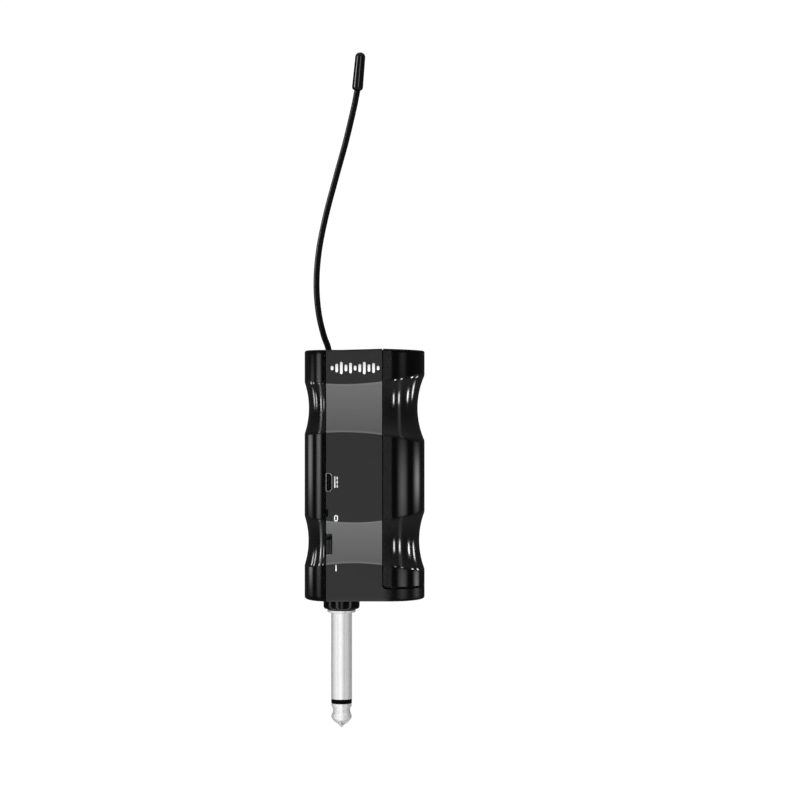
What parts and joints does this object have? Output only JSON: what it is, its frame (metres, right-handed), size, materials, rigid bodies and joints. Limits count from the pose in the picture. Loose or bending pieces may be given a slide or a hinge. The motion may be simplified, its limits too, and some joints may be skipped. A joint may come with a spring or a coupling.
{
  "type": "wireless guitar transmitter",
  "caption": "Plug-in wireless transmitter for an electric guitar: waisted two-shell body, 6.35 mm mono plug, sliding battery door, power switch, charging port and flexible whip antenna.",
  "frame": {"origin": "on the 6.35 mm plug's axis, in the plane of the shoulder face that stops against the jack", "axes": "+Z along the plug's axis, away from its tip, up the body and antenna; -Y out of the front panel with the switch and port; +X towards the battery door"},
  "size_m": [0.036, 0.025, 0.2032],
  "materials": {
    "panel_satin": "satin moulded ABS, dark charcoal",
    "shell_gloss": "high-gloss black ABS",
    "plug_chrome": "bright nickel-chrome plating",
    "spring_steel": "tin-plated steel",
    "contact_brass": "turned brass",
    "feed_copper": "bare copper",
    "insulator_black": "black moulded plastic",
    "switch_black": "ribbed black plastic",
    "antenna_rubber": "smooth black rubber jacket",
    "board_green": "green solder mask on glass laminate",
    "chip_black": "moulded chip package",
    "ceramic_white": "ceramic chip body",
    "cell_wrap": "shrink-wrap sleeve",
    "wire_red": "red wire insulation",
    "wire_black": "black wire insulation"
  },
  "bodies": {
    "housing": {"main_shell": "panel_satin", "left_shell": "shell_gloss", "shell_screw_1": "spring_steel", "shell_screw_2": "spring_steel", "shell_screw_3": "spring_steel", "shell_screw_4": "spring_steel", "plug_sleeve": "plug_chrome", "plug_tip": "plug_chrome", "plug_insulator_ring": "insulator_black", "plug_collar": "shell_gloss", "plug_inner_insulator": "insulator_black", "plug_tip_rod": "contact_brass", "plug_nut": "spring_steel", "plug_ground_tag": "contact_brass", "plug_tip_tag": "contact_brass", "battery_cell": "cell_wrap", "battery_cell_terminal": "spring_steel", "battery_contact_positive": "spring_steel", "battery_contact_negative": "spring_steel", "battery_contact_spring": "spring_steel", "circuit_board": "board_green", "usb_shell": "spring_steel", "usb_tongue": "insulator_black", "switch_frame": "spring_steel", "led_chip": "ceramic_white", "led_light_pipe": "insulator_black", "radio_shield_can": "spring_steel", "radio_chip": "chip_black", "radio_crystal": "spring_steel", "audio_converter_chip": "chip_black", "charger_chip": "chip_black", "power_inductor": "chip_black", "audio_capacitor": "cell_wrap", "filter_capacitor_1": "ceramic_white", "filter_capacitor_2": "ceramic_white", "lead_positive": "wire_red", "lead_negative": "wire_black", "lead_tip": "wire_red", "lead_sleeve": "wire_black", "antenna_grommet": "insulator_black", "antenna_feed_wire": "feed_copper", "antenna_root": "antenna_rubber"},
    "door": {"battery_door": "shell_gloss"},
    "slider": {"switch_knob": "switch_black"},
    "whip_lower": {"antenna_jacket_lower": "antenna_rubber", "antenna_core_lower": "spring_steel"},
    "whip_upper": {"antenna_jacket_upper": "antenna_rubber", "antenna_core_upper": "spring_steel", "antenna_cap": "shell_gloss"}
  },
  "joints": [
    {"name": "door_slide", "type": "slide", "parent": "housing", "child": "door", "axis": [0, 0, 1], "range_m": [0, 0.072]},
    {"name": "switch_slide", "type": "slide", "parent": "housing", "child": "slider", "axis": [0, 0, 1], "range_m": [0, 0.0014]},
    {"name": "whip_sway", "type": "hinge", "parent": "housing", "child": "whip_lower", "pos_m": [-0.0039, 0, 0.0791], "axis": [0, -1, 0], "range_deg": [-5, 20], "stiffness_Nm_per_rad": 0.02},
    {"name": "whip_nod", "type": "hinge", "parent": "whip_lower", "child": "whip_upper", "pos_m": [-0.0073, 0, 0.10448], "axis": [1, 0, 0], "range_deg": [-20, 20], "stiffness_Nm_per_rad": 0.01}
  ]
}
